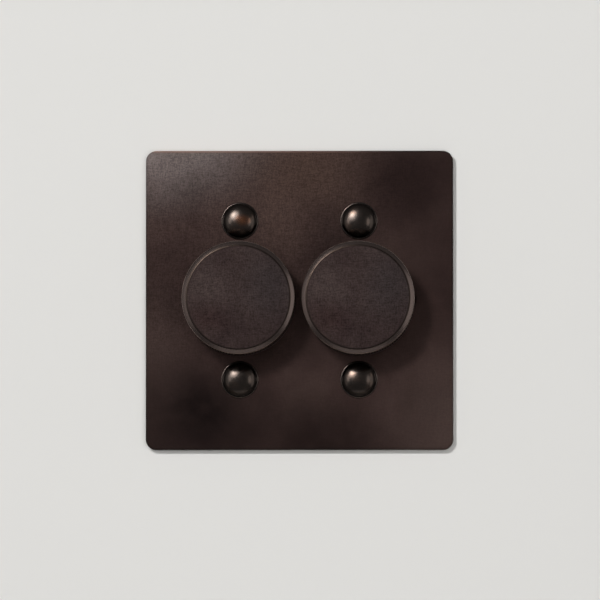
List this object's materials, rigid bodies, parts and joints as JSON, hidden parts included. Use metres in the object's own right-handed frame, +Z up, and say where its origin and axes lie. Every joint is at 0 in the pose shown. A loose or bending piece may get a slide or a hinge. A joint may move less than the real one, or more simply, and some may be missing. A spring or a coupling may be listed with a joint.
{
  "type": "wall dimmer switch",
  "caption": "Flush wall dimmer: flat bronzed metal plate, large round push-and-turn knobs, domed studs, boxed control unit behind.",
  "frame": {"origin": "middle of the plate's back face, in the plane of the wall", "axes": "+X right seen from the front, +Y into the wall, +Z up; the front faces -Y"},
  "size_m": [0.0882, 0.048, 0.086],
  "materials": {
    "plate_bronze": "dark bronze patina, satin",
    "knob_bronze": "dark bronze patina, fine satin",
    "stud_bronze": "dark bronze, polished",
    "zinc_steel": "bright zinc plate",
    "dark_steel": "black oxide",
    "spring_steel": "drawn wire",
    "heat_sink": "mill finish",
    "case_plastic": "fine texture",
    "cover_plastic": "fine texture",
    "board": "solder resist",
    "terminal_brass": "bright",
    "bush_brass": "nickel wash",
    "spindle_steel": "turned",
    "control_plastic": "moulded",
    "track_carbon": "printed carbon",
    "rotor_plastic": "moulded",
    "switch_plastic": "moulded",
    "plunger_plastic": "moulded",
    "triac_epoxy": "moulded epoxy",
    "core_iron": "painted iron powder",
    "copper": "enamelled wire",
    "capacitor_film": "moulded",
    "fuse_body": "moulded"
  },
  "bodies": {
    "base": {"face_plate": "plate_bronze", "dome_studs": "stud_bronze", "stud_washers": "zinc_steel", "stud_nuts": "zinc_steel", "heat_sink_plate": "heat_sink", "casing": "case_plastic", "rear_cover": "cover_plastic", "cover_screws": "zinc_steel", "circuit_board": "board", "terminal_barrels": "terminal_brass", "terminal_screws": "zinc_steel", "earth_terminal": "terminal_brass", "earth_screw": "zinc_steel", "triac_screws": "zinc_steel", "left_bush": "bush_brass", "left_bush_washer": "zinc_steel", "left_bush_nut": "bush_brass", "left_pot_case": "control_plastic", "left_pot_track": "track_carbon", "left_switch_body": "switch_plastic", "left_return_spring": "spring_steel", "left_triac": "triac_epoxy", "left_choke_core": "core_iron", "left_choke_winding": "copper", "left_capacitor": "capacitor_film", "left_fuse": "fuse_body", "right_bush": "bush_brass", "right_bush_washer": "zinc_steel", "right_bush_nut": "bush_brass", "right_pot_case": "control_plastic", "right_pot_track": "track_carbon", "right_switch_body": "switch_plastic", "right_return_spring": "spring_steel", "right_triac": "triac_epoxy", "right_choke_core": "core_iron", "right_choke_winding": "copper", "right_capacitor": "capacitor_film", "right_fuse": "fuse_body"},
    "left_push": {"left_switch_plunger": "plunger_plastic"},
    "left_turn": {"left_knob": "knob_bronze", "left_knob_screw": "dark_steel", "left_spindle": "spindle_steel", "left_spindle_clip": "spring_steel"},
    "left_rotor": {"left_pot_rotor": "rotor_plastic"},
    "right_push": {"right_switch_plunger": "plunger_plastic"},
    "right_turn": {"right_knob": "knob_bronze", "right_knob_screw": "dark_steel", "right_spindle": "spindle_steel", "right_spindle_clip": "spring_steel"},
    "right_rotor": {"right_pot_rotor": "rotor_plastic"}
  },
  "joints": [
    {"name": "left_knob_push", "type": "slide", "parent": "base", "child": "left_push", "axis": [0, 1, 0], "range_m": [0, 0.0015], "stiffness_N_per_m": 1500, "springref_m": -0.002, "deforming": ["left_return_spring"]},
    {"name": "left_knob_turn", "type": "hinge", "parent": "left_push", "child": "left_turn", "pos_m": [-0.0171, 0, 0], "axis": [0, 1, 0], "range_deg": [0, 270]},
    {"name": "left_rotor_turn", "type": "hinge", "parent": "base", "child": "left_rotor", "pos_m": [-0.0171, 0, 0], "axis": [0, 1, 0], "range_deg": [0, 270]},
    {"name": "right_knob_push", "type": "slide", "parent": "base", "child": "right_push", "axis": [0, 1, 0], "range_m": [0, 0.0015], "stiffness_N_per_m": 1500, "springref_m": -0.002, "deforming": ["right_return_spring"]},
    {"name": "right_knob_turn", "type": "hinge", "parent": "right_push", "child": "right_turn", "pos_m": [0.0171, 0, 0], "axis": [0, 1, 0], "range_deg": [0, 270]},
    {"name": "right_rotor_turn", "type": "hinge", "parent": "base", "child": "right_rotor", "pos_m": [0.0171, 0, 0], "axis": [0, 1, 0], "range_deg": [0, 270]}
  ],
  "couplings": [
    {"joint": "left_rotor_turn", "follows": "left_knob_turn", "ratio": 1},
    {"joint": "right_rotor_turn", "follows": "right_knob_turn", "ratio": 1}
  ]
}
